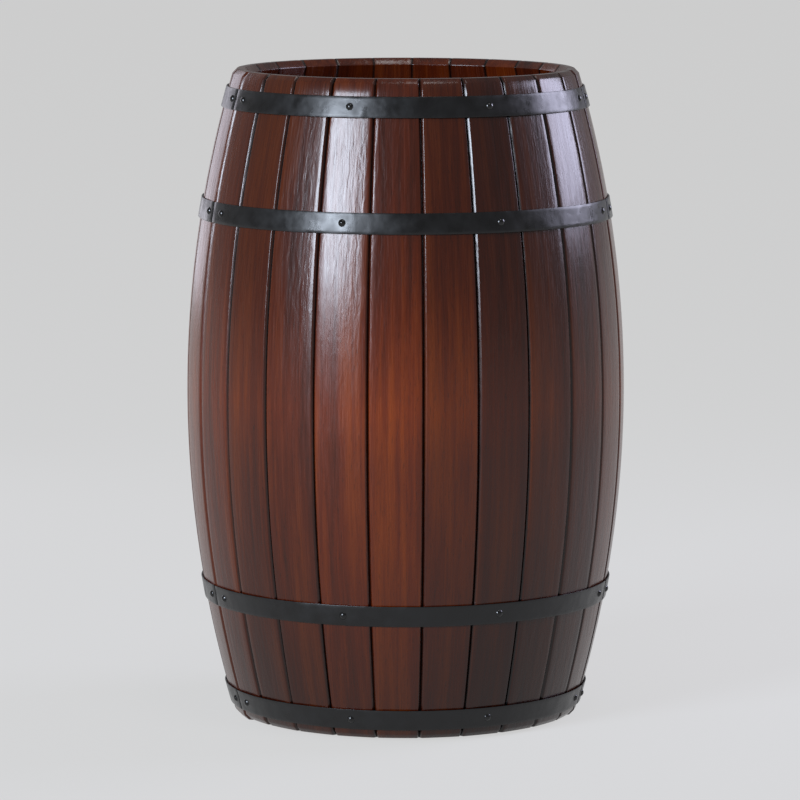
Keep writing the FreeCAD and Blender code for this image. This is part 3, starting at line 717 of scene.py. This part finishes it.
def raise_rings(rings):
    """Draws the selected end face through rings of (radius, height)."""
    for (radius, height), (next_radius, next_height) in zip(rings, rings[1:]):
        bpy.ops.mesh.extrude_region_move(TRANSFORM_OT_translate={"value": (0, 0, next_height - height)})
        scale = next_radius / radius
        bpy.ops.transform.resize(value=(scale, scale, 1), center_override=(0, 0, next_height))


def turned_piece(name, rings, corners):
    """Closed solid through rings of (radius, height), the first of them at its lower end."""
    begin(name, bpy.ops.mesh.primitive_circle_add, vertices=corners, radius=rings[0][0],
          fill_type="NGON", location=(0, 0, rings[0][1]))
    pick_all()
    raise_rings(rings)
    return close_up()


def hoop_nail():
    """Domed nail along Z, its head's underside at height 0."""
    sphere = (NAIL_HEAD_RADIUS ** 2 + NAIL_HEAD_RISE ** 2) / (2 * NAIL_HEAD_RISE)
    rings = [(NAIL_POINT_RADIUS, -NAIL_SHANK_LENGTH - NAIL_POINT_LENGTH),
             (NAIL_SHANK_RADIUS, -NAIL_SHANK_LENGTH), (NAIL_SHANK_RADIUS, 0.0),
             (NAIL_HEAD_RADIUS, 0.0)]
    for share in NAIL_DOME_SHARES:
        radius = NAIL_HEAD_RADIUS * share
        rings.append((radius, NAIL_HEAD_RISE - sphere + math.sqrt(sphere ** 2 - radius ** 2)))
    nail = turned_piece("hoop_nail", rings, NAIL_CORNERS)
    smooth(nail, SMOOTH_NAIL)
    return nail


def nail_place(azimuth, height):
    """Placing that sets a nail on the hoop, square to its face."""
    tilt = math.asin((height - MIDDLE) / BOW_RADIUS)
    reach = BOW_RADIUS + HOOP_THICKNESS
    place = Vector((0, -BOW_CENTRE - reach * math.cos(tilt), MIDDLE + reach * math.sin(tilt)))
    return (at_azimuth(azimuth) @ Matrix.Translation(place)
            @ Matrix.Rotation(math.pi / 2 - tilt, 4, "X"))


def make_nails():
    master = hoop_nail()
    for kind, body, azimuths in (("door", "door", DOOR_NAIL_AZIMUTHS),
                                 ("body", "cabinet_body", BODY_NAIL_AZIMUTHS)):
        set_of_nails = []
        for hoop in ("foot", "lower", "upper", "rim"):
            low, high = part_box("%s_hoop_%s" % (kind, hoop))
            for azimuth in azimuths:
                placing = nail_place(azimuth, (low.z + high.z) / 2)
                set_of_nails.append(copy_of(master, "nail", placing))
        node = kind + "_hoop_nails"
        settle(join(set_of_nails, "enamelled_" + node), body, NAIL_PAINT, "nail_iron", node)
    bpy.data.objects.remove(master)


def make_heads():
    """Top and base heads, each of four boards with bevelled joints, in the grooves of the fixed staves."""
    for name, bottom, seen in (("top", HEIGHT - HEAD_RECESS - HEAD_THICKNESS, 1), ("base", HEAD_RECESS, -1)):
        top = bottom + HEAD_THICKNESS
        middle = (bottom + top) / 2
        inner = radius_at(middle, STAVE_THICKNESS)
        rim = inner + CROZE_DEPTH - TONGUE_SLACK
        half = HEAD_TONGUE / 2
        face_radius, shoulder = inner - HEAD_EDGE_BEVEL, inner - HEAD_SHOULDER_GAP
        disc = turned_piece("head", [(face_radius, bottom), (shoulder, middle - half), (rim, middle - half),
                                     (rim, middle + half), (shoulder, middle + half),
                                     (face_radius, top)], ROUND_CORNERS)
        front = radius_at(MIDDLE + abs(middle - MIDDLE) + HEAD_THICKNESS / 2, STAVE_THICKNESS)
        clear_front(disc, front - HEAD_DOOR_CLEARANCE, bottom, top, DOOR_EDGE + FRONT_SPARE)
        width = 2 * rim / HEAD_BOARD_COUNT
        for index in range(HEAD_BOARD_COUNT):
            low = -rim + index * width
            board = copy_of(disc, "board", Matrix())
            work_on(board)
            bpy.ops.object.mode_set(mode="EDIT")
            for facing, reach in ((1, low + width), (-1, -low)):
                pick_all()
                saw((0, facing * reach, 0), (0, facing, 0))
            face = top if seen > 0 else bottom
            pick_edges(lambda a, b: all(abs(end.z - face) < TOUCH and min(
                abs(end.y - low), abs(end.y - low - width)) < TOUCH for end in (a, b)))
            bpy.ops.mesh.bevel(offset=HEAD_BOARD_BEVEL, segments=3, profile=0.5, affect="EDGES")
            board = close_up()
            soften(board, ARRIS)
            smooth(board)
            lay_grain(board, across_the_barrel, [(Vector((0, 1, 0)), low + width),
                                                 (Vector((0, -1, 0)), -low)])
            own_board(board, dice.uniform(*TONE_RANGE))
            node = "%s_head_board_%d" % (name, index + 1)
            board.name = board.data.name = "varnished_" + node
            settle(board, "cabinet_body", STAVE_WOOD, "head_wood", node)
        bpy.data.objects.remove(disc)


def clear_front(disc, radius, bottom, top, half_span):
    """Cuts a disc back to a radius over the front, this far to each side."""
    begin("front_cutter", bpy.ops.mesh.primitive_plane_add, size=1,
          location=(0, -(radius + FAR) / 2, (bottom + top) / 2), rotation=(0, math.pi / 2, 0))
    pick_all()
    bpy.ops.transform.resize(value=(1, FAR - radius, top - bottom + 2 * CUTTER_SPARE),
                             center_override=(0, -(radius + FAR) / 2, (bottom + top) / 2))
    spin_about(0, -half_span, half_span, round(half_span))
    cut_away(disc, close_up())


def make_shelf():
    low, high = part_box("shelf")
    wall = radius_at(low.z, STAVE_THICKNESS) - SHELF_WALL_GAP
    disc = turned_piece("satin_shelf", [(wall, low.z), (wall, high.z)], ROUND_CORNERS)
    clear_front(disc, SHELF_FRONT_RADIUS, low.z, high.z, SHELF_FRONT_AZIMUTH)
    soften(disc, WOOD_ARRIS, WOOD_ARRIS_SEGMENTS)
    smooth(disc)
    lay_grain(disc, across_the_barrel)
    own_board(disc)
    settle(disc, "cabinet_body", INNER_WOOD, "inner_wood", "shelf")
    cleats = []
    for azimuth in CLEAT_AZIMUTHS:
        bottom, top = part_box("shelf_cleats")
        cleats.append(lining("cleat", bottom.z, top.z, azimuth - CLEAT_HALF_SPAN,
                             azimuth + CLEAT_HALF_SPAN, round_the_barrel))
    settle(join(cleats, "satin_shelf_cleats"), "cabinet_body", INNER_WOOD, "inner_wood", "shelf_cleats")


def lining(name, low, high, azimuth_from, azimuth_to, along):
    """Bowed piece of solid wood glued to the inside of the staves."""
    piece = band(name, STAVE_THICKNESS, STAVE_THICKNESS + LINING_THICKNESS, low, high, azimuth_from,
                 azimuth_to, max(2, round((high - low) / LINING_ROW)), HOOP_STEP)
    soften(piece, WOOD_ARRIS, WOOD_ARRIS_SEGMENTS)
    smooth(piece)
    lay_grain(piece, along)
    own_board(piece)
    return piece


def make_linings():
    """Ribs that hold the door's staves together, and the jambs each side of the doorway."""
    for name in ("lower", "middle", "upper"):
        node = "door_rib_" + name
        low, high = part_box(node)
        rib = lining("satin_" + node, low.z, high.z, *RIB_AZIMUTHS, round_the_barrel)
        settle(rib, "door", INNER_WOOD, "inner_wood", node)
    inner = BELLY_RADIUS - STAVE_THICKNESS
    low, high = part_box("jamb_hinge_side")
    start = DOOR_EDGE + math.degrees(HINGE_GAP / 2 / inner)
    post = lining("satin_jamb_hinge_side", low.z, high.z, start, start + math.degrees(JAMB_WIDTH / inner),
                  up_the_stave)
    settle(post, "cabinet_body", INNER_WOOD, "inner_wood", "jamb_hinge_side")
    end = -DOOR_EDGE - math.degrees(LATCH_GAP / 2 / inner)
    lip_end = end + math.degrees(STOP_LAP / inner)
    post = band("satin_jamb_latch_side", STAVE_THICKNESS, STAVE_THICKNESS + LINING_THICKNESS, low.z, high.z,
                end - math.degrees(JAMB_WIDTH / inner), lip_end, STAVE_ROWS, HOOP_STEP)
    rebate = band("rebate", STAVE_THICKNESS - STOP_CLEARANCE, STAVE_THICKNESS + STOP_CLEARANCE,
                  low.z - STOP_CLEARANCE, high.z + STOP_CLEARANCE, end, lip_end + REBATE_SPARE, STAVE_ROWS,
                  HOOP_STEP)
    cut_away(post, rebate)
    soften(post, ARRIS)
    smooth(post)
    lay_grain(post, up_the_stave)
    own_board(post)
    settle(post, "cabinet_body", INNER_WOOD, "inner_wood", "jamb_latch_side")


HARDWARE = {
    "hinge_arm_lower": ZINC, "hinge_arm_upper": ZINC, "hinge_leaf_lower": ZINC, "hinge_leaf_upper": ZINC,
    "hinge_pins": ZINC, "body_hardware_screws": ZINC, "door_hardware_screws": ZINC, "latch_strike": ZINC,
    "latch_case": CASE_PLASTIC, "latch_plunger": PLUNGER_PLASTIC}


def finish_hardware():
    """The hinges, screws and latch keep their own shapes, and get their real finishes."""
    for node, finish in HARDWARE.items():
        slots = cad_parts[node].data.materials
        slots.clear()
        slots.append(finish)


# ---- the studio ----

def softbox(name, azimuth, elevation, distance, width, height, watts, color):
    """Lamp behind a rectangular cloth, turned to the middle of the barrel."""
    lamp = bpy.data.lights.new(name, "AREA")
    lamp.shape = "RECTANGLE"
    lamp.size, lamp.size_y = width, height
    lamp.energy = watts
    lamp.color = linear(color)[:3]
    stand = bpy.data.objects.new(name, lamp)
    bpy.context.scene.collection.objects.link(stand)
    rise = math.tan(math.radians(elevation)) * distance
    stand.location = outwards(azimuth) * distance + Vector((0, 0, MIDDLE + rise))
    aim = Vector((0, 0, MIDDLE)) - stand.location
    stand.rotation_euler = aim.to_track_quat("-Z", "Y").to_euler()
    stand.visible_camera = False


def seen_directly(tree):
    """1 for the rays that show the backdrop itself or its reflection, and 0 for the rays that light."""
    camera, glossy, through = [add(tree, "ShaderNodeLightPath", "Is %s Ray" % kind)
                               for kind in ("Camera", "Glossy", "Transmission")]
    either = add(tree, "ShaderNodeMath", operation="MAXIMUM", Value=[camera, glossy])
    return add(tree, "ShaderNodeMath", operation="MAXIMUM", Value=[either, through])


def make_studio():
    begin("floor", bpy.ops.mesh.primitive_circle_add, vertices=FLOOR_CORNERS, radius=FLOOR_RADIUS,
          fill_type="NGON")
    floor = close_up()
    paper, tree = begin_material("pale_paper_floor")
    glow = add(tree, "ShaderNodeMath", operation="MULTIPLY", Value=[seen_directly(tree), FLOOR_GLOW])
    both = add(tree, "ShaderNodeAddShader", Shader=[
        add(tree, "ShaderNodeBsdfDiffuse", Color=linear(FLOOR_COLOR)),
        add(tree, "ShaderNodeEmission", Strength=glow)])
    add(tree, "ShaderNodeOutputMaterial", Surface=both)
    floor.data.materials.append(paper)

    world = bpy.data.worlds.new("studio")
    bpy.context.scene.world = world
    world.use_nodes = True
    tree = world.node_tree
    tree.nodes.clear()
    strength = add(tree, "ShaderNodeMix", Factor=seen_directly(tree), A=WORLD_LIGHT, B=WORLD_SEEN)
    add(tree, "ShaderNodeOutputWorld", Surface=add(
        tree, "ShaderNodeBackground", Color=linear(WORLD_COLOR), Strength=strength))

    for lamp in SOFTBOXES:
        softbox(*lamp)


def make_camera():
    camera = bpy.data.cameras.new("camera")
    camera.sensor_width = SENSOR_WIDTH
    camera.lens = CAMERA_FOCUS * SENSOR_WIDTH
    camera.clip_end = CAMERA_REACH
    stand = bpy.data.objects.new("camera", camera)
    bpy.context.scene.collection.objects.link(stand)
    stand.location = outwards(CAMERA_AZIMUTH) * CAMERA_DISTANCE + Vector((0, 0, CAMERA_HEIGHT))
    aim = sideways(CAMERA_AZIMUTH) * AIM_SIDE + Vector((0, 0, AIM_HEIGHT)) - stand.location
    stand.rotation_euler = aim.to_track_quat("-Z", "Y").to_euler()
    bpy.context.scene.camera = stand


make_camera()
make_staves()
make_hoops()
make_nails()
make_heads()
make_shelf()
make_linings()
finish_hardware()
make_studio()
bpy.context.scene.view_settings.view_transform = "Standard"
